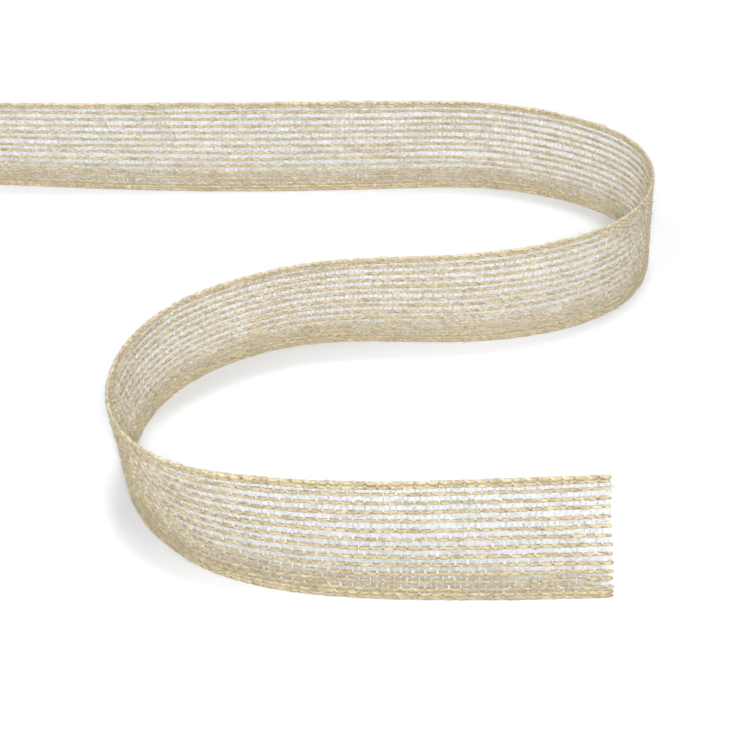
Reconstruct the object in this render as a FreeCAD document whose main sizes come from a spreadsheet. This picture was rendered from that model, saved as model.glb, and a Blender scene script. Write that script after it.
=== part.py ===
import FreeCAD, Part
import math
import os

# An open-weave jute ribbon, cut to length and stood on its long edge in an S.
# Sixteen jute yarns run the whole length: twelve single ones and a close pair along each edge.
# Fine weft threads cross them, each passing before one yarn and behind the next.
# Millimetres, +Z up. The S lies in the XY plane and the lower edge stands on Z = 0.

# Poles of the cubic B-spline that the lower edge follows, from the cut end of the
# back run, round the right bend, the middle run and the left bend, to the front end.
ROUTE_POLES = [
    (-147.5, 138.5),
    (-84.5, 132.5),
    (-39.5, 129.5),
    (4.5, 130.0),
    (47.5, 132.5),
    (97.0, 136.5),
    (156.0, 101.0),
    (141.5, 26.0),
    (74.5, 1.5),
    (14.0, 14.5),
    (-41.5, -24.5),
    (-45.5, -87.0),
    (-23.0, -117.5),
    (-3.5, -131.5),
    (37.5, -140.5),
    (110.0, -137.0),
]

# Poles of the lean in degrees over the same run: how far the upper edge tips to the
# left of the way the ribbon goes.
LEAN_POLES = [-8.0, 0.0, 5.0, 1.5, -4.0, -1.5, 9.0, 19.0, -14.5, -7.0, 7.0, 12.5]

# The stretches of the S, and the share of the stations at which each one ends.
STRETCHES = [
    ("back_run", 0.32),
    ("right_bend", 0.50),
    ("middle_run", 0.66),
    ("left_bend", 0.83),
    ("front_run", 1.0),
]

SIZES = [
    ("ribbon_width", 40.0),
    ("warp_yarn_count", 12),
    ("warp_yarn_diameter", 1.2),
    ("selvedge_yarn_diameter", 1.25),
    ("selvedge_gap", 0.1),
    ("last_gap_ratio", 0.78),
    ("narrowed_gap_count", 5),
    ("lower_edge_ratio", 0.351),
    ("upper_edge_ratio", 0.571),
    ("weft_thread_width", 0.2),
    ("weft_clearance", 0.05),
    ("weft_flat", 0.7),
    ("close_gap", 2.5),
    ("picks_per_station", 4),
    ("station_spacing", 16.0),
    ("corner_share", 0.45),
    ("foot_depth", 0.1),
    ("route_stretch_x", 1.0),
    ("route_stretch_y", 1.0),
]

# The block under the floor that presses the lowest yarn flat, larger than the S.
SLAB_SIDE = 4000
SLAB_THICKNESS = 10

doc = FreeCAD.newDocument("jute_ribbon")


def make_sheet():
    sheet = doc.addObject("Spreadsheet::Sheet", "Sizes")
    for row, (alias, value) in enumerate(SIZES, start=1):
        sheet.set("A%d" % row, alias)
        sheet.set("B%d" % row, str(value))
        sheet.setAlias("B%d" % row, alias)
    doc.recompute()
    return sheet


sheet = make_sheet()


def size(alias):
    return float(sheet.get(alias))


def spline(poles):
    curve = Part.BSplineCurve()
    curve.buildFromPoles(poles, False, 3)
    return curve


def route_curve():
    stretch_x = size("route_stretch_x")
    stretch_y = size("route_stretch_y")
    return spline([FreeCAD.Vector(x * stretch_x, y * stretch_y, 0) for x, y in ROUTE_POLES])


def lean_curve():
    return spline([FreeCAD.Vector(angle, 0, 0) for angle in LEAN_POLES])


def stations():
    """Evenly spaced places along the lower edge: (point, left, lean) of each."""
    route = route_curve()
    lean = lean_curve()
    count = round(route.length() / size("station_spacing"))
    spacing = route.length() / count
    up = FreeCAD.Vector(0, 0, 1)
    places = []
    for number in range(count + 1):
        along = route.parameterAtDistance(number * spacing, route.FirstParameter)
        forward = FreeCAD.Vector(*route.tangent(along)[0])
        places.append((route.value(along), up.cross(forward), math.radians(lean.value(along).x)))
    return places


def yarn_heights():
    """(name, diameter alias, height of the centre line up the ribbon), from the lower edge."""
    width = size("ribbon_width")
    single_count = round(size("warp_yarn_count"))
    edge_diameter = size("selvedge_yarn_diameter")
    pair_pitch = edge_diameter + size("selvedge_gap")
    outer = edge_diameter / 2
    inner = outer + pair_pitch
    rows = [
        ("lower_selvedge_yarn_outer", "selvedge_yarn_diameter", outer),
        ("lower_selvedge_yarn_inner", "selvedge_yarn_diameter", inner),
    ]
    # The single yarns share the width left clear between the two pairs. Each share is in the
    # common pitch: from one pair's surface, yarn to yarn, and up to the other pair's surface.
    # The lowest gaps are narrower, and they widen up to the common one.
    narrowed = round(size("narrowed_gap_count"))
    shares = [size("lower_edge_ratio")]
    for gap in range(1, single_count):
        missing = max(0, narrowed - gap) / narrowed
        shares.append(1 - (1 - size("last_gap_ratio")) * missing)
    shares.append(size("upper_edge_ratio"))
    open_width = width - 2 * (inner + edge_diameter / 2)
    height = inner + edge_diameter / 2
    for number, share in enumerate(shares[:-1]):
        height += open_width * share / sum(shares)
        name = "warp_yarn_%02d" % (single_count - number)
        rows.append((name, "warp_yarn_diameter", height))
    rows.append(("upper_selvedge_yarn_inner", "selvedge_yarn_diameter", width - inner))
    rows.append(("upper_selvedge_yarn_outer", "selvedge_yarn_diameter", width - outer))
    return rows


def raised(place, height):
    """The point of a yarn's centre line over one station. The lowest yarn keeps to the floor."""
    point, left, lean = place
    lowest = size("selvedge_yarn_diameter") / 2
    reach = height - lowest
    upright = FreeCAD.Vector(0, 0, lowest + reach * math.cos(lean))
    return point + left * (reach * math.sin(lean)) + upright


def corner(before, point, after):
    """The arc that rounds one point of a centre line: (arc edge, its start, its end)."""
    back = (before - point).normalize()
    ahead = (after - point).normalize()
    reach = size("corner_share") * min(before.distanceToPoint(point), after.distanceToPoint(point))
    start = point + back * reach
    end = point + ahead * reach
    half_turn = (math.pi - back.getAngle(ahead)) / 2
    radius = reach / math.tan(half_turn)
    inward = (back + ahead).normalize()
    middle = point + inward * (radius / math.cos(half_turn) - radius)
    return Part.Arc(start, middle, end).toShape(), start, end


def spans(points):
    """A centre line in pieces, one round each point: its edges from half way before to half way after."""
    pieces = []
    for before, point, after in zip(points, points[1:], points[2:]):
        arc, start, end = corner(before, point, after)
        enter = before if before is points[0] else (before + point) * 0.5
        leave = after if after is points[-1] else (point + after) * 0.5
        pieces.append([
            Part.LineSegment(enter, start).toShape(),
            arc,
            Part.LineSegment(end, leave).toShape(),
        ])
    return pieces


def make_yarn(name, diameter_alias, pieces):
    """One yarn: a round section swept along its centre line."""
    spine = doc.addObject("Part::Feature", "Spine_" + name)
    spine.Shape = Part.Wire([edge for piece in pieces for edge in piece])
    first = pieces[0][0]
    section = doc.addObject("Part::Circle", "Section_" + name)
    section.setExpression("Radius", "Sizes.%s / 2" % diameter_alias)
    heading = first.tangentAt(first.FirstParameter)
    turn = FreeCAD.Rotation(FreeCAD.Vector(0, 0, 1), heading)
    section.Placement = FreeCAD.Placement(first.valueAt(first.FirstParameter), turn)
    yarn = doc.addObject("Part::Sweep", "Yarn_" + name)
    yarn.Sections = [section]
    yarn.Spine = (spine, ["Edge%d" % (n + 1) for n in range(len(spine.Shape.Edges))])
    yarn.Solid = True
    yarn.Frenet = False
    yarn.Label = name
    return yarn


def crossings(rows):
    """How a pick lies over each yarn: its corners there, as (distance up, distance out) from the centre.

    Between two yarns the thread runs along the common tangent of the circles that it keeps
    round them. Over a yarn it makes one bend where its two tangents meet. Beside a gap
    narrower than close_gap it lies flat over the yarn instead, at least weft_flat long.
    """
    thread = size("weft_thread_width")
    heights = [height for _, _, height in rows]
    reaches = [size(alias) / 2 + size("weft_clearance") + thread / 2 for _, alias, _ in rows]
    last = len(rows) - 1
    # each gap's slope, its width, and how far its flats are drawn out past the tangent's own
    gaps = [(0, size("close_gap"), 1)]
    for row in range(1, last - 1):
        gap_width = heights[row + 1] - heights[row]
        slope = math.asin((reaches[row] + reaches[row + 1]) / gap_width)
        shortest = min(reaches[row], reaches[row + 1]) * math.tan(slope / 2)
        ease = max(1, size("weft_flat") / 2 / shortest) if gap_width < size("close_gap") else 1
        gaps.append((slope, gap_width, ease))
    gaps.append((0, size("close_gap"), 1))
    found = [[(0, reaches[0])]]
    for row in range(1, last):
        away = reaches[row]
        below, below_width, below_ease = gaps[row - 1]
        above, above_width, above_ease = gaps[row]
        if min(below_width, above_width) < size("close_gap"):
            found.append([
                (-below_ease * away * math.tan(below / 2), away),
                (above_ease * away * math.tan(above / 2), away),
            ])
        else:
            rise = (away / math.cos(above) - away / math.cos(below)) / (math.tan(below) + math.tan(above))
            found.append([(rise, away / math.cos(below) + rise * math.tan(below))])
    found.append([(0, reaches[last])])
    return found


def make_pick(centres, forward, first_side, bends):
    """One weft pick: a thread that goes up the ribbon, alternately before and behind the yarns."""
    thread = size("weft_thread_width")
    foot = centres[0]
    up = (centres[-1] - foot).normalize()
    left = up.cross(forward).normalize()
    along = left.cross(up)
    last = len(centres) - 1
    line = []
    side = first_side
    for row, corners in enumerate(bends):
        # the yarns' own points lie a hair out of one plane, and the pick is flat
        centre = centres[row] - along * (centres[row] - foot).dot(along)
        for rise, away in corners:
            line.append(centre + up * rise + left * (side * away))
        # a pair is crossed as if it were one yarn, so its second yarn keeps the side of the first
        if row not in (0, last - 1):
            side = -side
    near = [point + left * (thread / 2) for point in line]
    far = [point - left * (thread / 2) for point in reversed(line)]
    outline = Part.makePolygon([point - along * (thread / 2) for point in near + far + near[:1]])
    return Part.Face(outline).extrude(along * thread)


def make_picks(rows, yarn_pieces):
    """The weft, one group of separate picks for each stretch of the S."""
    bends = crossings(rows)
    per_station = round(size("picks_per_station"))
    piece_count = len(yarn_pieces[0])
    groups = {name: [] for name, _ in STRETCHES}
    side = 1
    for number in range(piece_count):
        share = (number + 0.5) / piece_count
        stretch = next(name for name, end in STRETCHES if share <= end)
        # every second of these points carries a pick
        lines = [
            Part.Wire(pieces[number]).discretize(Number=2 * per_station + 1)
            for pieces in yarn_pieces
        ]
        for place in range(1, 2 * per_station, 2):
            centres = [line[place] for line in lines]
            forward = (lines[0][place + 1] - lines[0][place - 1]).normalize()
            groups[stretch].append(make_pick(centres, forward, side, bends))
            side = -side
    made = []
    for name, picks in groups.items():
        group = doc.addObject("Part::Feature", "Weft_" + name)
        group.Shape = Part.makeCompound(picks)
        group.Label = "weft_picks_" + name
        made.append(group)
    return made


def stand_on_foot(yarn):
    """The lowest yarn, pressed flat along the line that it stands on."""
    slab = doc.addObject("Part::Box", "Floor_slab")
    slab.Length = SLAB_SIDE
    slab.Width = SLAB_SIDE
    slab.setExpression("Height", "Sizes.foot_depth + %d" % SLAB_THICKNESS)
    slab.Placement.Base = FreeCAD.Vector(-SLAB_SIDE / 2, -SLAB_SIDE / 2, -SLAB_THICKNESS)
    pressed = doc.addObject("Part::Cut", "Pressed_" + yarn.Label)
    pressed.Base = yarn
    pressed.Tool = slab
    name = yarn.Label
    yarn.Label = "round_" + name
    pressed.Label = name
    return pressed


def whole_box(parts):
    """The box round every piece, measured on the surfaces themselves."""
    box = FreeCAD.BoundBox()
    for item in parts:
        box.add(item.Shape.optimalBoundingBox(False, False))
    return box


def centre_on_origin(parts):
    """Moves every piece alike, so that the origin is the middle of the ribbon's box at its foot."""
    box = whole_box(parts)
    move = FreeCAD.Vector(-box.Center.x, -box.Center.y, -box.ZMin)
    for item in parts:
        item.Placement = FreeCAD.Placement(move, FreeCAD.Rotation())
    doc.recompute()


def check(parts):
    """Stops before anything is written if an object failed or a shape is not sound."""
    for item in doc.Objects:
        if "Invalid" in item.State or "Error" in item.State:
            raise RuntimeError("%s failed: %s" % (item.Name, item.State))
    for item in parts:
        if item.Shape.isNull() or not item.Shape.isValid():
            raise RuntimeError("%s has no sound shape" % item.Label)


def main():
    rows = yarn_heights()
    places = stations()
    yarn_pieces = [spans([raised(place, height) for place in places]) for _, _, height in rows]
    yarns = [
        make_yarn(name, diameter_alias, pieces)
        for (name, diameter_alias, _), pieces in zip(rows, yarn_pieces)
    ]
    doc.recompute()
    parts = [stand_on_foot(yarns[0])] + yarns[1:] + make_picks(rows, yarn_pieces)
    doc.recompute()
    centre_on_origin(parts)
    check(parts)
    os.makedirs("parts", exist_ok=True)
    for item in parts:
        item.Shape.exportStep("parts/%s.step" % item.Label)
        print(item.Label, len(item.Shape.Solids), "solids,", round(item.Shape.Volume, 1), "cubic mm")
    print("whole:", whole_box(parts))


main()
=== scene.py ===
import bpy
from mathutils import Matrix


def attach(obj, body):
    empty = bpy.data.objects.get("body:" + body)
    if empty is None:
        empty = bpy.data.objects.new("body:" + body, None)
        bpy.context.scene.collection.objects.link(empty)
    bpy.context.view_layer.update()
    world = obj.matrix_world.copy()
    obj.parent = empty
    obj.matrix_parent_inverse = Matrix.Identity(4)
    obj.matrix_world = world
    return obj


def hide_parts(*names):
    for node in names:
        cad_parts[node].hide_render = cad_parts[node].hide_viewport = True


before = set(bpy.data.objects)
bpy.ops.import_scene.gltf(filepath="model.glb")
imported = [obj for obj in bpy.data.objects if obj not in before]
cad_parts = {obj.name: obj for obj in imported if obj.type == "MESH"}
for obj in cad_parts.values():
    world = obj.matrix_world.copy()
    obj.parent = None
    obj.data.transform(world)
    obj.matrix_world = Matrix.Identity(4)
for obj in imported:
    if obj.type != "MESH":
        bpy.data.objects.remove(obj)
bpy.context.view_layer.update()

import math

import bpy
import numpy as np

# A jute craft ribbon, cut to length and standing on its long edge in an S.
# Lengths are millimetres until a mesh is made, because that is how a ribbon is sold and measured.
MM = 0.001

# ---------------------------------------------------------------- the ribbon's own measures

# All of these are the CAD model's own values.

# The line that the lower edge follows on the floor, from the cut end of the back run to
# the front end: the poles of a cubic B-spline.
ROUTE_POLES = [
    (-147.5, 138.5),
    (-84.5, 132.5),
    (-39.5, 129.5),
    (4.5, 130.0),
    (47.5, 132.5),
    (97.0, 136.5),
    (156.0, 101.0),
    (141.5, 26.0),
    (74.5, 1.5),
    (14.0, 14.5),
    (-41.5, -24.5),
    (-45.5, -87.0),
    (-23.0, -117.5),
    (-3.5, -131.5),
    (37.5, -140.5),
    (110.0, -137.0),
]
# How far the upper edge tips to the left over the same run, in degrees.
LEAN_POLES = [-8.0, 0.0, 5.0, 1.5, -4.0, -1.5, 9.0, 19.0, -14.5, -7.0, 7.0, 12.5]
# The stretches of the S, and the share of the length at which each one ends.
STRETCHES = [
    ("back_run", 0.32),
    ("right_bend", 0.50),
    ("middle_run", 0.66),
    ("left_bend", 0.83),
    ("front_run", 1.0),
]
RIBBON_WIDTH = 40.0
SINGLE_YARNS = 12
YARN_RADIUS = 0.60
EDGE_YARN_RADIUS = 0.625
EDGE_PAIR_GAP = 0.1
# Gaps between yarns, as shares of a plain one. They grow from the first ratio at the lower edge to 1
# over the narrowed gaps, and the ones beside the two pairs have ratios of their own.
LAST_GAP_RATIO = 0.78
NARROWED_GAPS = 5
LOWER_EDGE_RATIO = 0.351
UPPER_EDGE_RATIO = 0.571

# ---------------------------------------------------------------- the yarns' shape

# The share of a yarn's radius that is packed fibre. Loose fibres fill the rest.
CORE = 0.95
YARN_SIDES = 8
RINGS_PER_PICK = 4
TWIST_PITCH = 9.0
# How far the picks push a yarn to and fro, and the share of its radius that they press in.
CRIMP = 0.07
PINCH = 0.13
# Waves are (size, wavelength, key of their random numbers).
WANDER_WAVES = [(0.20, 45.0, 100), (0.12, 14.0, 200), (0.07, 5.0, 300)]
EDGE_WANDER_SHARE = 0.25
THICKNESS_WAVES = [(0.12, 22.0, 400), (0.12, 7.0, 500), (0.05, 2.2, 700)]
LUMP_WAVES = [(1.0, 11.0, 600)]
LUMP_THRESHOLD = 0.55
LUMP_SIZE = 0.6
TWIST_WAVES = [(3.0, 30.0, 800)]
CLOTH_WAVES = [(0.35, 38.0, 5)]
# A yarn's section isn't round: the sizes of its three-lobed and two-lobed parts, and its roughness.
THREE_LOBES = 0.07
TWO_LOBES = 0.04
GRAIN = 0.09
# The cut ends: uneven by up to END_JITTER, and narrower over the last two rings.
END_RINGS = 8
END_JITTER = 0.6
END_TAPER = [0.55, 0.9]
# How much shorter the slanting cut leaves the upper edge than the lower one, and the picks that it
# cuts free.
CUT_SLANT = 2.4
LOST_PICKS = 1
LEAST_YARN_HEIGHT = 0.02

# ---------------------------------------------------------------- the weft's shape

PICK_PITCH = 1.8
WEFT_RADIUS = 0.13
WEFT_STRANDS = 4
WEFT_SIDES = 3
WEFT_STEPS_PER_GAP = 3
TURN_STEPS = 5
# How far out of a yarn's centre the thread's own centre stands, as a share of the yarn's radius:
# it bites into the soft jute.
WEFT_BITE = 0.45
# Below 1, the thread keeps to its side for longer and then crosses the gap steeply.
CROSSING_SHARPNESS = 0.7
# How far a pick leans, bows and ripples along the ribbon, and the ripple's turn over the width in radians.
PICK_SWAY = 0.28
PICK_BOW = 0.32
PICK_RIPPLE = 0.07
RIPPLE_TURN = 9

# ---------------------------------------------------------------- the loose fibres' shape

# Fibres of each kind for each millimetre of ribbon, and the long dark hairs of the whole ribbon.
WINDING_FIBRES = 10.0
CROSSING_FIBRES = {"back_run": 14, "right_bend": 13, "middle_run": 12, "left_bend": 7, "front_run": 4}
# The fibres along the foot are loose fuzz, and their density there is also painted shade: they fill the
# lowest gaps with tan where the floor just behind lies in shade.
FOOT_FIBRES_AND_SHADE = 12.0
STRAY_HAIRS = 70
WINDING_RADIUS = 0.045
CROSSING_RADIUS = 0.062
FOOT_RADIUS = 0.055
HAIR_RADIUS = 0.07
FIBRE_SIDES = 3
FIBRE_THICKNESSES = (0.7, 1.4)
# A winding fibre's rings, its lengths, its pitches as shares of the twist's, how close it lies to the
# yarn and how far its ends let go, as shares of the yarn's radius, and how suddenly they do.
WINDING_RINGS = 11
WINDING_LENGTHS = (4, 14)
WINDING_PITCHES = (0.8, 1.8)
WINDING_CLOSENESS = 1.05
WINDING_LIFTS = (0.2, 1.8)
LIFT_POWERS = (2, 6)
# The other kinds by their rings, where up the ribbon they start, their lengths and their steepness.
CROSSING_KIND = {"rings": 9, "heights": (1, 39), "lengths": (3, 11), "steepness": 0.5}
FOOT_KIND = {"rings": 7, "heights": (0.5, 8.5), "lengths": (4, 12), "steepness": 0.25}
HAIR_KIND = {"rings": 16, "heights": (2, 36), "lengths": (5, 16), "steepness": 1.1}
# Their curl and their bends, in radians, the number of bends, how far they stand out of the face and
# how many half turns they make through it.
CURL = 0.5
BEND = 0.35
BEND_COUNTS = (0.5, 1.6)
BEND_STARTS = (0, 6)
FACE_REACHES = (0.1, 0.9)
FACE_HALF_TURNS = (0.3, 1.5)
LEAST_FIBRE_HEIGHT = 0.05
# How far fibres may stand over the upper edge, and how near the lower edge they may come.
HIGHEST_OVER_EDGE = 0.6
LOWEST_AT_FOOT = 0.2

# ---------------------------------------------------------------- the view

# The camera looks at AIM, a point of the floor, from EYE.
FLOOR_SIDE = 6000.0
ELEVATION = math.radians(33)
DISTANCE = 609.4
AIM = np.array([38.5, -15.5, 0.0])
EYE = AIM + DISTANCE * np.array([0, -math.cos(ELEVATION), math.sin(ELEVATION)])

# ---------------------------------------------------------------- working values

CURVE_SAMPLES = 6000
NOISE_SEED = 11
# The part of a UV strip's cell that a face fills, and the room below it.
CELL_FILL = 0.9
CELL_MARGIN = 0.05
# A direction that threads and fibres hardly ever follow, for starting a tube's section.
ASKEW = np.array([0.31, 0.23, 0.92])
NEARLY_ZERO = 1e-12

rng = np.random.default_rng(NOISE_SEED)


# ---------------------------------------------------------------- curves and noise

def spline(poles, at):
    """Points of the clamped uniform cubic B-spline with these poles, at shares of its range."""
    poles = np.asarray(poles, float)
    poles = poles.reshape(len(poles), -1)
    degree = 3
    spans = len(poles) - degree
    knots = np.concatenate([np.zeros(degree), np.arange(spans + 1), np.full(degree, spans)])
    where = np.clip(at, 0, 1) * spans
    span = np.minimum(where.astype(int), spans - 1) + degree
    found = [poles[span - degree + n] for n in range(degree + 1)]
    for level in range(1, degree + 1):
        for n in range(degree, level - 1, -1):
            low = knots[span - degree + n]
            high = knots[span + 1 + n - level]
            share = ((where - low) / (high - low))[:, None]
            found[n] = (1 - share) * found[n - 1] + share * found[n]
    return found[degree]


class Route:
    """The ribbon's surface: a place for each distance along it and height up it."""

    def __init__(self):
        share = np.linspace(0, 1, CURVE_SAMPLES)
        line = spline(ROUTE_POLES, share)
        steps = np.linalg.norm(np.diff(line, axis=0), axis=1)
        self.distance = np.concatenate([[0], np.cumsum(steps)])
        self.length = self.distance[-1]
        self.line = line
        self.lean = np.radians(spline(LEAN_POLES, share)[:, 0])
        heading = np.gradient(line, self.distance, axis=0)
        self.heading = heading / np.linalg.norm(heading, axis=1)[:, None]

    def read(self, values, along):
        return np.interp(along, self.distance, values)

    def frame(self, along):
        """(foot of the ribbon, forward, up the ribbon, out of its left face) at each distance."""
        along = np.asarray(along, float)
        ahead_x = self.read(self.heading[:, 0], along)
        ahead_y = self.read(self.heading[:, 1], along)
        lean = self.read(self.lean, along)
        zero = np.zeros_like(along)
        foot = np.stack([self.read(self.line[:, 0], along), self.read(self.line[:, 1], along), zero], -1)
        forward = np.stack([ahead_x, ahead_y, zero], -1)
        left = np.stack([-ahead_y, ahead_x, zero], -1)
        above = np.stack([zero, zero, zero + 1], -1)
        sine = np.sin(lean)[..., None]
        cosine = np.cos(lean)[..., None]
        return foot, forward, left * sine + above * cosine, left * cosine - above * sine

    def place(self, along, height, out):
        """The point at a distance along the ribbon, a height up it and a distance out of its face."""
        foot, _, up, face = self.frame(along)
        lowest = np.array([0, 0, EDGE_YARN_RADIUS])
        reach = np.asarray(height)[..., None] - EDGE_YARN_RADIUS
        return foot + lowest + up * reach + face * np.asarray(out)[..., None]


route = Route()
pick_count = round(route.length / PICK_PITCH)
pitch = route.length / pick_count


def smooth_noise(along, wavelength, key):
    """A smooth random line over the distance, from about -1 to 1."""
    source = np.random.default_rng([NOISE_SEED, key])
    cells = int(route.length / wavelength) + 4
    values = source.uniform(-1, 1, cells)
    where = np.clip(along / wavelength + 1, 0, cells - 2)
    cell = where.astype(int)
    share = where - cell
    share = share * share * (3 - 2 * share)
    return values[cell] * (1 - share) + values[cell + 1] * share


def waves(table, along, row=0):
    """The sum of the smooth random lines in this table. Each row has lines of its own."""
    return sum(size * smooth_noise(along, wavelength, key + row) for size, wavelength, key in table)


def yarn_rows():
    """(height, radius) of each yarn, from the lower edge up, as the CAD model has them."""
    inner = 3 * EDGE_YARN_RADIUS + EDGE_PAIR_GAP
    shares = [LOWER_EDGE_RATIO]
    for gap in range(1, SINGLE_YARNS):
        shares.append(1 - (1 - LAST_GAP_RATIO) * max(0, NARROWED_GAPS - gap) / NARROWED_GAPS)
    shares.append(UPPER_EDGE_RATIO)
    height = inner + EDGE_YARN_RADIUS
    open_width = RIBBON_WIDTH - 2 * height
    rows = [(EDGE_YARN_RADIUS, EDGE_YARN_RADIUS), (inner, EDGE_YARN_RADIUS)]
    for share in shares[:-1]:
        height += open_width * share / sum(shares)
        rows.append((height, YARN_RADIUS))
    rows.append((RIBBON_WIDTH - inner, EDGE_YARN_RADIUS))
    rows.append((RIBBON_WIDTH - EDGE_YARN_RADIUS, EDGE_YARN_RADIUS))
    return rows


ROWS = yarn_rows()
LAST_ROW = len(ROWS) - 1


def row_side(row):
    """Which face a pick shows on at this yarn. The two yarns of an edge pair are crossed as one."""
    unit = min(max(row - 1, 0), LAST_ROW - 2)
    return 1 if unit % 2 == 0 else -1


def yarn_height(row, along):
    """A yarn's height at a distance: woven by hand-spun yarn, it wanders a little."""
    height, _ = ROWS[row]
    free = EDGE_WANDER_SHARE if row in (0, LAST_ROW) else 1.0
    return height + free * waves(WANDER_WAVES, along, row)


def cloth_wave(along, height):
    """The whole ribbon's slight waves out of its face, which grow towards the upper edge."""
    return waves(CLOTH_WAVES, along) * height / RIBBON_WIDTH


def yarn_out(row, along):
    """How far a yarn's centre stands out of the ribbon's face: the picks push it to and fro."""
    height, _ = ROWS[row]
    crossing = np.cos(np.pi * (along / pitch - 0.5))
    return cloth_wave(along, height) - CRIMP * row_side(row) * crossing


# ---------------------------------------------------------------- meshes of tubes

def new_mesh(name, points, loops, totals):
    """A smooth mesh from points in millimetres, corner indices and corners per face."""
    mesh = bpy.data.meshes.new(name)
    mesh.vertices.add(len(points))
    mesh.vertices.foreach_set("co", (points * MM).astype(np.float32).ravel())
    mesh.loops.add(len(loops))
    mesh.loops.foreach_set("vertex_index", loops.astype(np.int32))
    mesh.polygons.add(len(totals))
    starts = np.concatenate([[0], np.cumsum(totals)[:-1]])
    mesh.polygons.foreach_set("loop_start", starts.astype(np.int32))
    mesh.polygons.foreach_set("loop_total", totals.astype(np.int32))
    mesh.polygons.foreach_set("use_smooth", np.ones(len(totals), bool))
    mesh.update(calc_edges=True)
    return mesh


def tube_faces(tubes, rings, sides):
    """(corner indices, corners per face) of closed tubes: quads along them and a cap at each end."""
    tube = np.arange(tubes)[:, None, None] * rings * sides
    ring = np.arange(rings - 1)[None, :, None] * sides
    side = np.arange(sides)[None, None, :]
    beside = (side + 1) % sides
    quads = np.stack(
        [tube + ring + side, tube + ring + beside, tube + ring + sides + beside, tube + ring + sides + side],
        -1,
    ).reshape(-1, 4)
    first = (tube[:, 0] + np.arange(sides)[None, ::-1]).reshape(tubes, sides)
    last = (tube[:, 0] + (rings - 1) * sides + np.arange(sides)[None, :]).reshape(tubes, sides)
    loops = np.concatenate([quads.ravel(), first.ravel(), last.ravel()])
    totals = np.concatenate([np.full(len(quads), 4), np.full(2 * tubes, sides)])
    return loops, totals


def strip_map(mesh, tubes, rings, sides, shape):
    """A UV map for the export: the tubes cut into strips that lie side by side.

    shape is the tubes' whole length over their girth. It sets how many strips there are, so that
    the faces stay near their true shape.
    """
    strips = max(1, round(math.sqrt(shape)))
    quads_along = tubes * (rings - 1)
    per_strip = math.ceil(quads_along / strips)
    quad = np.arange(quads_along)
    strip = (quad // per_strip)[:, None]
    left = ((quad % per_strip) / per_strip)[:, None]
    right = left + 1 / per_strip
    low = (strip + CELL_MARGIN + CELL_FILL * np.arange(sides)[None, :] / sides) / strips
    high = low + CELL_FILL / sides / strips
    left = np.broadcast_to(left, low.shape)
    right = np.broadcast_to(right, low.shape)
    corners = np.stack([left, low, left, high, right, high, right, low], -1).reshape(-1, 2)
    caps = np.repeat(corners[:: 4 * sides][:: rings - 1], 2 * sides, axis=0)[: 2 * sides * tubes]
    layer = mesh.uv_layers.new(name="OFBake")
    layer.uv.foreach_set("vector", np.concatenate([corners, caps]).astype(np.float32).ravel())


def set_attribute(mesh, name, kind, values):
    """A value for each point of the mesh, for its material to read."""
    field = "vector" if kind == "FLOAT_VECTOR" else "value"
    mesh.attributes.new(name, kind, "POINT").data.foreach_set(field, values.astype(np.float32).ravel())


def thin_tubes(name, lines, radius, sides):
    """Closed round tubes along lines of equally many points, all in one mesh."""
    count, rings, _ = lines.shape
    ahead = np.gradient(lines, axis=1)
    ahead /= np.linalg.norm(ahead, axis=2, keepdims=True) + NEARLY_ZERO
    across = np.cross(ahead, ASKEW)
    across /= np.linalg.norm(across, axis=2, keepdims=True) + NEARLY_ZERO
    other = np.cross(ahead, across)
    angle = 2 * np.pi * np.arange(sides) / sides
    radius = np.broadcast_to(radius, (count,))[:, None, None, None]
    points = lines[:, :, None] + radius * (
        across[:, :, None] * np.cos(angle)[None, None, :, None]
        + other[:, :, None] * np.sin(angle)[None, None, :, None]
    )
    loops, totals = tube_faces(count, rings, sides)
    mesh = new_mesh(name, points.reshape(-1, 3), loops, totals)
    long = np.linalg.norm(np.diff(lines, axis=1), axis=2).sum()
    strip_map(mesh, count, rings, sides, long / (2 * np.pi * float(np.mean(radius))))
    return mesh


# ---------------------------------------------------------------- yarns

def yarn_distances(row):
    """Where a yarn's rings lie: on the picks and evenly between them, with ends that the cut left uneven."""
    grid = np.linspace(0, route.length, pick_count * RINGS_PER_PICK + 1)
    first = rng.uniform(0, END_JITTER)
    slant = CUT_SLANT * ROWS[row][0] / RIBBON_WIDTH
    last = route.length - slant - rng.uniform(0, END_JITTER)
    grid[:END_RINGS] = np.linspace(first, grid[END_RINGS - 1], END_RINGS)
    grid[-END_RINGS:] = np.linspace(grid[-END_RINGS], last, END_RINGS)
    return grid


def slub(row, along):
    """A yarn's thick and thin places, as a share of its radius."""
    lump = np.maximum(0, waves(LUMP_WAVES, along, row) - LUMP_THRESHOLD)
    return 1 + waves(THICKNESS_WAVES, along, row) + LUMP_SIZE * lump


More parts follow.
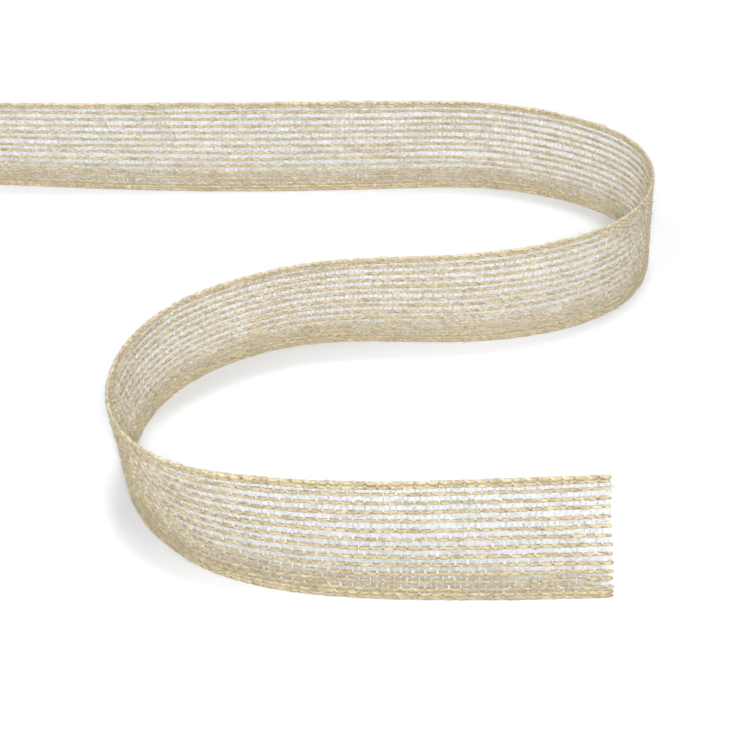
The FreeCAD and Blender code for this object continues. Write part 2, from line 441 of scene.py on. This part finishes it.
def make_yarns():
    """All the warp yarns in one mesh, each a closed lumpy tube with its fibres twisted round it."""
    every_point = []
    every_fibre = []
    every_press = []
    angle = 2 * np.pi * np.arange(YARN_SIDES) / YARN_SIDES
    for row, (_, radius) in enumerate(ROWS):
        along = yarn_distances(row)
        centre = route.place(along, yarn_height(row, along), yarn_out(row, along))
        _, _, up, face = route.frame(along)
        # 1 where a pick crosses the left face, -1 where it crosses the right one
        crossing = row_side(row) * np.cos(np.pi * (along / pitch - 0.5))
        # Where the picks press the yarn: this pinches its shape, and the material paints shade into the
        # groove from it.
        pressed = np.clip(np.cos(angle)[None] * crossing[:, None], 0, 1) ** 2
        twist = 2 * np.pi * along / TWIST_PITCH + waves(TWIST_WAVES, along, row)
        turned = angle[None] - twist[:, None]
        lobes = 1 + THREE_LOBES * np.cos(3 * turned) + TWO_LOBES * np.cos(2 * turned + row)
        grain = 1 + rng.uniform(-GRAIN, GRAIN, (len(along), YARN_SIDES))
        reach = CORE * radius * slub(row, along)[:, None] * lobes * grain * (1 - PINCH * pressed)
        for ring, share in enumerate(END_TAPER):
            reach[[ring, -1 - ring]] *= share
        spoke = face[:, None] * np.cos(angle)[None, :, None] + up[:, None] * np.sin(angle)[None, :, None]
        points = centre[:, None] + spoke * reach[:, :, None]
        points[:, :, 2] = np.maximum(points[:, :, 2], LEAST_YARN_HEIGHT)
        every_point.append(points)
        # 1000 mm further on for each yarn, so that no two show the same stretch of the material
        far_along = np.broadcast_to(along[:, None] + 1000.0 * row, turned.shape)
        every_fibre.append(np.stack([far_along, radius * np.cos(turned), radius * np.sin(turned)], -1))
        every_press.append(pressed)
    tubes = len(ROWS)
    rings = len(every_point[0])
    loops, totals = tube_faces(tubes, rings, YARN_SIDES)
    mesh = new_mesh("jute_warp", np.concatenate(every_point).reshape(-1, 3), loops, totals)
    strip_map(mesh, tubes, rings, YARN_SIDES, tubes * route.length / (2 * np.pi * YARN_RADIUS))
    set_attribute(mesh, "fibre", "FLOAT_VECTOR", np.concatenate(every_fibre))
    set_attribute(mesh, "press", "FLOAT", np.concatenate(every_press))
    return mesh


# ---------------------------------------------------------------- weft

def pick_line(pick):
    """One pick's points from the lower edge to the upper one."""
    sway = rng.uniform(-PICK_SWAY, PICK_SWAY)
    bow = rng.uniform(-PICK_BOW, PICK_BOW)
    phase = rng.uniform(0, 2 * np.pi)
    along = np.array([(pick + 0.5) * pitch])
    heights = []
    outs = []
    steps = np.arange(WEFT_STEPS_PER_GAP) / WEFT_STEPS_PER_GAP
    levels = [yarn_height(row, along)[0] for row in range(len(ROWS))]
    parity = 1 if pick % 2 == 0 else -1
    for row in range(LAST_ROW):
        side = row_side(row) * parity
        beyond = row_side(row + 1) * parity
        height, radius = ROWS[row]
        swing = np.cos(np.pi * steps) if beyond != side else np.ones(len(steps))
        swing = np.sign(swing) * np.abs(swing) ** CROSSING_SHARPNESS
        outs.extend(cloth_wave(along, height) + side * radius * WEFT_BITE * swing)
        heights.extend(levels[row] + (levels[row + 1] - levels[row]) * steps)
    last_side = row_side(LAST_ROW) * parity
    outs.extend(cloth_wave(along, RIBBON_WIDTH) + last_side * EDGE_YARN_RADIUS * WEFT_BITE)
    heights.append(levels[-1])
    rise = np.array(heights) / RIBBON_WIDTH
    drift = sway * (2 * rise - 1) + bow * np.sin(np.pi * rise)
    drift += PICK_RIPPLE * np.sin(RIPPLE_TURN * rise + phase)
    return np.stack([along + drift, np.array(heights), np.array(outs)], -1)


def turn_line(start, end, upward):
    """The thread's way round the outermost yarn from the end of one pick to the start of the next."""
    share = (np.arange(TURN_STEPS) + 1) / (TURN_STEPS + 1)
    middle = (start[2] + end[2]) / 2
    height = (start[1] + end[1]) / 2
    reach = abs(end[2] - start[2]) / 2
    peak = EDGE_YARN_RADIUS + WEFT_RADIUS
    angle = np.pi * share
    side = 1 if start[2] > middle else -1
    along = start[0] + (end[0] - start[0]) * share
    out = middle + side * reach * np.cos(angle)
    rise = (1 if upward else -1) * peak * np.sin(angle)
    return np.stack([along, height + rise, out], -1)


def make_weft(name, first, last):
    """The weft over one stretch of the ribbon: strands side by side, each of picks and turns."""
    strands = []
    for _ in range(WEFT_STRANDS):
        parts = []
        for pick in range(first, last):
            line = pick_line(pick)
            upward = pick % 2 == 1
            if upward:
                line = line[::-1]
            if parts:
                parts.append(turn_line(parts[-1][-1], line[0], upward))
            parts.append(line)
        way = np.concatenate(parts)
        line = route.place(way[:, 0], way[:, 1], way[:, 2])
        line[:, 2] = np.maximum(line[:, 2], WEFT_RADIUS)
        strands.append(line)
    return thin_tubes(name, np.stack(strands), WEFT_RADIUS, WEFT_SIDES)


# ---------------------------------------------------------------- loose fibres

def each(low, high, count):
    """A random number for each fibre, as a column."""
    return rng.uniform(low, high, count)[:, None]


def surface_fibres(count, low, high):
    """Fibres that wind round a yarn with its twist and let go of it at their ends.

    low and high are the distances along the ribbon between which they start.
    """
    row = rng.integers(0, len(ROWS), count)
    length = rng.uniform(*WINDING_LENGTHS, count)
    start = rng.uniform(low, np.minimum(high, route.length - length))
    share = np.linspace(0, 1, WINDING_RINGS)
    along = start[:, None] + length[:, None] * share[None]
    first_turn = each(0, 2 * np.pi, count)
    pitch_share = each(*WINDING_PITCHES, count)
    turn = first_turn + 2 * np.pi * (along - start[:, None]) / (TWIST_PITCH * pitch_share)
    lift = np.abs(2 * share - 1) ** each(*LIFT_POWERS, count)
    radius = YARN_RADIUS * (WINDING_CLOSENESS + lift * each(*WINDING_LIFTS, count))
    height = np.empty_like(along)
    out = np.empty_like(along)
    for number in range(count):
        height[number] = yarn_height(row[number], along[number])
        out[number] = yarn_out(row[number], along[number])
    return along, height + radius * np.sin(turn), out + radius * np.cos(turn)


def gap_fibres(count, low, high, rings, heights, lengths, steepness):
    """Fibres that lie across the open weave at a slant.

    low and high are the distances along the ribbon between which they start.
    """
    length = rng.uniform(*lengths, count)
    start = rng.uniform(low, np.minimum(high, route.length - length))
    height = rng.uniform(*heights, count)
    slant = rng.normal(0, steepness, count)[:, None]
    curl = rng.normal(0, CURL, count)[:, None]
    share = np.linspace(0, 1, rings)
    bends = each(*BEND_COUNTS, count)
    bend_start = each(*BEND_STARTS, count)
    heading = slant + curl * share + BEND * np.sin(2 * np.pi * share * bends + bend_start)
    step = length[:, None] / rings
    along = start[:, None] + np.cumsum(np.cos(heading) * step, axis=1)
    up = height[:, None] + np.cumsum(np.sin(heading) * step, axis=1)
    face = rng.choice([-1, 1], count)[:, None]
    reach = each(*FACE_REACHES, count)
    out = face * reach * np.cos(np.pi * share * each(*FACE_HALF_TURNS, count))
    along = np.clip(along, 0, route.length)
    return along, np.clip(up, LOWEST_AT_FOOT, RIBBON_WIDTH + HIGHEST_OVER_EDGE), out


def fibre_mesh(name, radius, fibres, darkest=0.0, palest=1.0):
    """One mesh of fibres, given as (distance along, height, distance out) of their points."""
    lines = route.place(*fibres)
    lines[:, :, 2] = np.maximum(lines[:, :, 2], LEAST_FIBRE_HEIGHT)
    thickness = radius * rng.uniform(*FIBRE_THICKNESSES, len(lines))
    shades = rng.uniform(darkest, palest, len(lines))
    mesh = thin_tubes(name, lines, thickness, FIBRE_SIDES)
    set_attribute(mesh, "shade", "FLOAT", np.repeat(shades, lines.shape[1] * FIBRE_SIDES))
    return mesh


# ---------------------------------------------------------------- materials

def material(name):
    """(a new material, its nodes, its links, its Principled shader)."""
    made = bpy.data.materials.new(name)
    made.use_nodes = True
    nodes = made.node_tree.nodes
    return made, nodes, made.node_tree.links, nodes["Principled BSDF"]


def noise_node(nodes, links, vector, scale, detail, squeeze):
    """A noise texture, finer along each of the three directions the larger its squeeze is there."""
    mapping = nodes.new("ShaderNodeMapping")
    mapping.inputs["Scale"].default_value = squeeze
    links.new(vector, mapping.inputs["Vector"])
    noise = nodes.new("ShaderNodeTexNoise")
    noise.inputs["Scale"].default_value = scale
    noise.inputs["Detail"].default_value = detail
    links.new(mapping.outputs["Vector"], noise.inputs["Vector"])
    return noise


def ramp_node(nodes, links, value, stops):
    """A colour ramp from stops of (place, colour)."""
    ramp = nodes.new("ShaderNodeValToRGB")
    elements = ramp.color_ramp.elements
    while len(elements) < len(stops):
        elements.new(0.5)
    for element, (place, colour) in zip(elements, stops):
        element.position = place
        element.color = (*colour, 1)
    links.new(value, ramp.inputs["Fac"])
    return ramp


def multiply_node(nodes, links, factor, first, second):
    """The product of two colours, blended in by the factor. Each may be a socket or a plain value."""
    mix = nodes.new("ShaderNodeMix")
    mix.data_type = "RGBA"
    mix.blend_type = "MULTIPLY"
    # sockets 0, 6 and 7 are the factor and the two colours, and output 2 is the colour
    for socket, value in ((0, factor), (6, first), (7, second)):
        if isinstance(value, bpy.types.NodeSocket):
            links.new(value, mix.inputs[socket])
        else:
            mix.inputs[socket].default_value = value
    return mix.outputs[2]


def jute_material():
    """Straw-coloured jute: streaks along the twist, paler and browner lengths, painted shade in the picks'
    grooves.
    """
    made, nodes, links, shader = material("jute")
    fibre = nodes.new("ShaderNodeAttribute")
    fibre.attribute_name = "fibre"
    press = nodes.new("ShaderNodeAttribute")
    press.attribute_name = "press"
    place = fibre.outputs["Vector"]
    streaks = noise_node(nodes, links, place, scale=1.0, detail=3.0, squeeze=(0.45, 5.0, 5.0))
    lengths = noise_node(nodes, links, place, scale=1.0, detail=2.0, squeeze=(0.09, 0.3, 0.3))
    dashes = noise_node(nodes, links, place, scale=1.0, detail=2.0, squeeze=(0.55, 0.4, 0.4))
    base = ramp_node(nodes, links, streaks.outputs["Fac"], [
        (0.32, (0.37, 0.305, 0.185)),
        (0.45, (0.48, 0.405, 0.26)),
        (0.55, (0.55, 0.475, 0.315)),
        (0.68, (0.64, 0.57, 0.41)),
    ])
    tone = ramp_node(nodes, links, lengths.outputs["Fac"], [
        (0.38, (0.86, 0.82, 0.74)),
        (0.50, (1.0, 1.0, 1.0)),
        (0.62, (1.08, 1.07, 1.02)),
    ])
    dash = ramp_node(nodes, links, dashes.outputs["Fac"], [
        (0.41, (0.84, 0.80, 0.73)),
        (0.50, (1.0, 1.0, 1.0)),
        (0.59, (1.10, 1.10, 1.07)),
    ])
    colour = multiply_node(nodes, links, 1.0, base.outputs["Color"], tone.outputs["Color"])
    colour = multiply_node(nodes, links, 1.0, colour, dash.outputs["Color"])
    # Painted shade: the yarn is darkened where a pick presses it in, standing in for the shadow in the
    # groove.
    pinch_shade = nodes.new("ShaderNodeMapRange")
    pinch_shade.inputs["From Min"].default_value = 0.3
    pinch_shade.inputs["From Max"].default_value = 0.85
    pinch_shade.inputs["To Max"].default_value = 0.85
    links.new(press.outputs["Fac"], pinch_shade.inputs["Value"])
    colour = multiply_node(nodes, links, pinch_shade.outputs["Result"], colour, (0.36, 0.29, 0.19, 1))
    links.new(colour, shader.inputs["Base Color"])
    shader.inputs["Roughness"].default_value = 0.62
    shader.inputs["Specular IOR Level"].default_value = 0.35
    bump = nodes.new("ShaderNodeBump")
    bump.inputs["Strength"].default_value = 0.4
    bump.inputs["Distance"].default_value = 0.12 * MM
    links.new(streaks.outputs["Fac"], bump.inputs["Height"])
    links.new(bump.outputs["Normal"], shader.inputs["Normal"])
    return made


def fibre_material():
    """Single jute fibres, from pale straw to brown."""
    made, nodes, links, shader = material("jute_fibre")
    shade = nodes.new("ShaderNodeAttribute")
    shade.attribute_name = "shade"
    colour = ramp_node(nodes, links, shade.outputs["Fac"], [
        (0.0, (0.20, 0.14, 0.08)),
        (0.12, (0.40, 0.32, 0.19)),
        (0.4, (0.57, 0.48, 0.32)),
        (1.0, (0.74, 0.66, 0.49)),
    ])
    links.new(colour.outputs["Color"], shader.inputs["Base Color"])
    shader.inputs["Roughness"].default_value = 0.55
    return made


def weft_material():
    """Fine undyed thread that light passes through, white in flecks; its grey-blue elsewhere is painted
    shade for the shaded floor seen through the weave.
    """
    made, nodes, links, shader = material("weft_thread")
    place = nodes.new("ShaderNodeTexCoord")
    noise = noise_node(nodes, links, place.outputs["Object"], scale=900.0, detail=1.0, squeeze=(1, 1, 1))
    # Painted shade: the grey-blue stops darken the thread for the shaded floor behind the gaps; the white is
    # the thread's own.
    colour = ramp_node(nodes, links, noise.outputs["Fac"], [
        (0.35, (0.73, 0.75, 0.80)),
        (0.55, (0.80, 0.82, 0.86)),
        (0.66, (1.0, 1.0, 1.0)),
    ])
    links.new(colour.outputs["Color"], shader.inputs["Base Color"])
    shader.inputs["Roughness"].default_value = 0.4
    shader.inputs["Alpha"].default_value = 0.8
    return made


def floor_material():
    """The white ground of the photograph, bright enough in this light to show no edge."""
    made, nodes, links, shader = material("pale_floor")
    place = nodes.new("ShaderNodeTexCoord")
    noise = noise_node(nodes, links, place.outputs["Object"], scale=3.0, detail=2.0, squeeze=(1, 1, 1))
    colour = ramp_node(nodes, links, noise.outputs["Fac"], [
        (0.3, (0.755, 0.765, 0.79)),
        (0.7, (0.77, 0.78, 0.80)),
    ])
    links.new(colour.outputs["Color"], shader.inputs["Base Color"])
    shader.inputs["Roughness"].default_value = 0.9
    shader.inputs["Specular IOR Level"].default_value = 0.0
    return made


# ---------------------------------------------------------------- pieces

def piece(mesh, made):
    """A visible piece of the ribbon, on its one body."""
    thing = bpy.data.objects.new(mesh.name, mesh)
    bpy.context.scene.collection.objects.link(thing)
    mesh.materials.append(made)
    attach(thing, "root")
    return thing


def make_floor():
    corners = np.array([(-1, -1, 0), (1, -1, 0), (1, 1, 0), (-1, 1, 0)]) * FLOOR_SIDE / 2
    mesh = new_mesh("floor", corners, np.arange(4), np.array([4]))
    thing = bpy.data.objects.new("floor", mesh)
    bpy.context.scene.collection.objects.link(thing)
    mesh.materials.append(floor_material())
    return thing


# ---------------------------------------------------------------- camera and light

def make_camera():
    """In front of the ribbon and 33 degrees above the floor, aimed at the middle of the view."""
    data = bpy.data.cameras.new("camera")
    data.lens = 81.6
    data.sensor_width = 36.0
    camera = bpy.data.objects.new("camera", data)
    camera.location = EYE * MM
    camera.rotation_euler = (math.pi / 2 - ELEVATION, 0, 0)
    bpy.context.scene.collection.objects.link(camera)
    bpy.context.scene.camera = camera


def sun_light(name, azimuth, elevation, strength, spread):
    """A soft studio lamp, far off: azimuth 0 is the camera's side, and spread is how wide it looks."""
    data = bpy.data.lights.new(name, "SUN")
    data.energy = strength
    data.angle = math.radians(spread)
    lamp = bpy.data.objects.new(name, data)
    lamp.rotation_euler = (math.pi / 2 - math.radians(elevation), 0, math.radians(azimuth))
    bpy.context.scene.collection.objects.link(lamp)


def near_light(name, place, power, radius):
    """A round studio lamp that lights near and far things alike, as a large one further off would."""
    data = bpy.data.lights.new(name, "POINT")
    data.energy = power
    data.shadow_soft_size = radius * MM
    data.use_nodes = True
    nodes = data.node_tree.nodes
    falloff = nodes.new("ShaderNodeLightFalloff")
    falloff.inputs["Strength"].default_value = 1.0
    data.node_tree.links.new(falloff.outputs["Constant"], nodes["Emission"].inputs["Strength"])
    lamp = bpy.data.objects.new(name, data)
    lamp.location = place * MM
    bpy.context.scene.collection.objects.link(lamp)


def make_light():
    """A strong lamp beside the camera, two wide ones at its sides, one high up behind and a faint sky."""
    world = bpy.data.worlds.new("studio")
    world.use_nodes = True
    shade = world.node_tree.nodes["Background"]
    shade.inputs["Color"].default_value = (0.84, 0.93, 1.0, 1)
    shade.inputs["Strength"].default_value = 0.15
    bpy.context.scene.world = world
    near_light("front_light", EYE, power=28.5, radius=40)
    sun_light("right_fill", azimuth=64, elevation=42, strength=1.45, spread=50)
    sun_light("left_fill", azimuth=-64, elevation=42, strength=1.3, spread=50)
    sun_light("top_light", azimuth=168, elevation=80, strength=1.35, spread=14)
    bpy.context.scene.view_settings.view_transform = "Standard"


# ---------------------------------------------------------------- the whole scene

def make_weft_pieces():
    """One piece of weft for each stretch of the S."""
    thread = weft_material()
    made = []
    first = 0
    for stretch, end in STRETCHES:
        last = min(round(end * pick_count), pick_count - LOST_PICKS)
        weft = piece(make_weft("weft_" + stretch, first, last), thread)
        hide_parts("weft_picks_" + stretch)
        made.append(weft)
        first = last
    return made


def make_fibre_pieces():
    """Three pieces of loose fibres for each stretch of the S, the foot ones dense enough to paint shade in
    the lowest gaps too, and one of stray hairs for it all.
    """
    fibre = fibre_material()
    made = []
    low = 0.0
    for stretch, end in STRETCHES:
        high = end * route.length
        span = high - low
        winding = surface_fibres(round(WINDING_FIBRES * span), low, high)
        mesh = fibre_mesh("fibres_round_yarns_" + stretch, WINDING_RADIUS, winding, darkest=0.1)
        made.append(piece(mesh, fibre))
        crossing = gap_fibres(round(CROSSING_FIBRES[stretch] * span), low, high, **CROSSING_KIND)
        at_foot_with_shade = gap_fibres(round(FOOT_FIBRES_AND_SHADE * span), low, high, **FOOT_KIND)
        mesh = fibre_mesh("fibres_across_gaps_" + stretch, CROSSING_RADIUS, crossing, darkest=0.25)
        made.append(piece(mesh, fibre))
        mesh = fibre_mesh("fibres_and_shade_along_foot_" + stretch, FOOT_RADIUS, at_foot_with_shade, darkest=0.2)
        made.append(piece(mesh, fibre))
        low = high
    hairs = gap_fibres(STRAY_HAIRS, 0.0, route.length, **HAIR_KIND)
    made.append(piece(fibre_mesh("stray_hairs", HAIR_RADIUS, hairs, palest=0.15), fibre))
    return made


def main():
    floor = make_floor()
    make_camera()
    make_light()

    warp = piece(make_yarns(), jute_material())
    cad_yarns = [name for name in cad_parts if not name.startswith("weft_picks")]
    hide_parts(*cad_yarns)
    with_warp = make_weft_pieces() + make_fibre_pieces()


main()
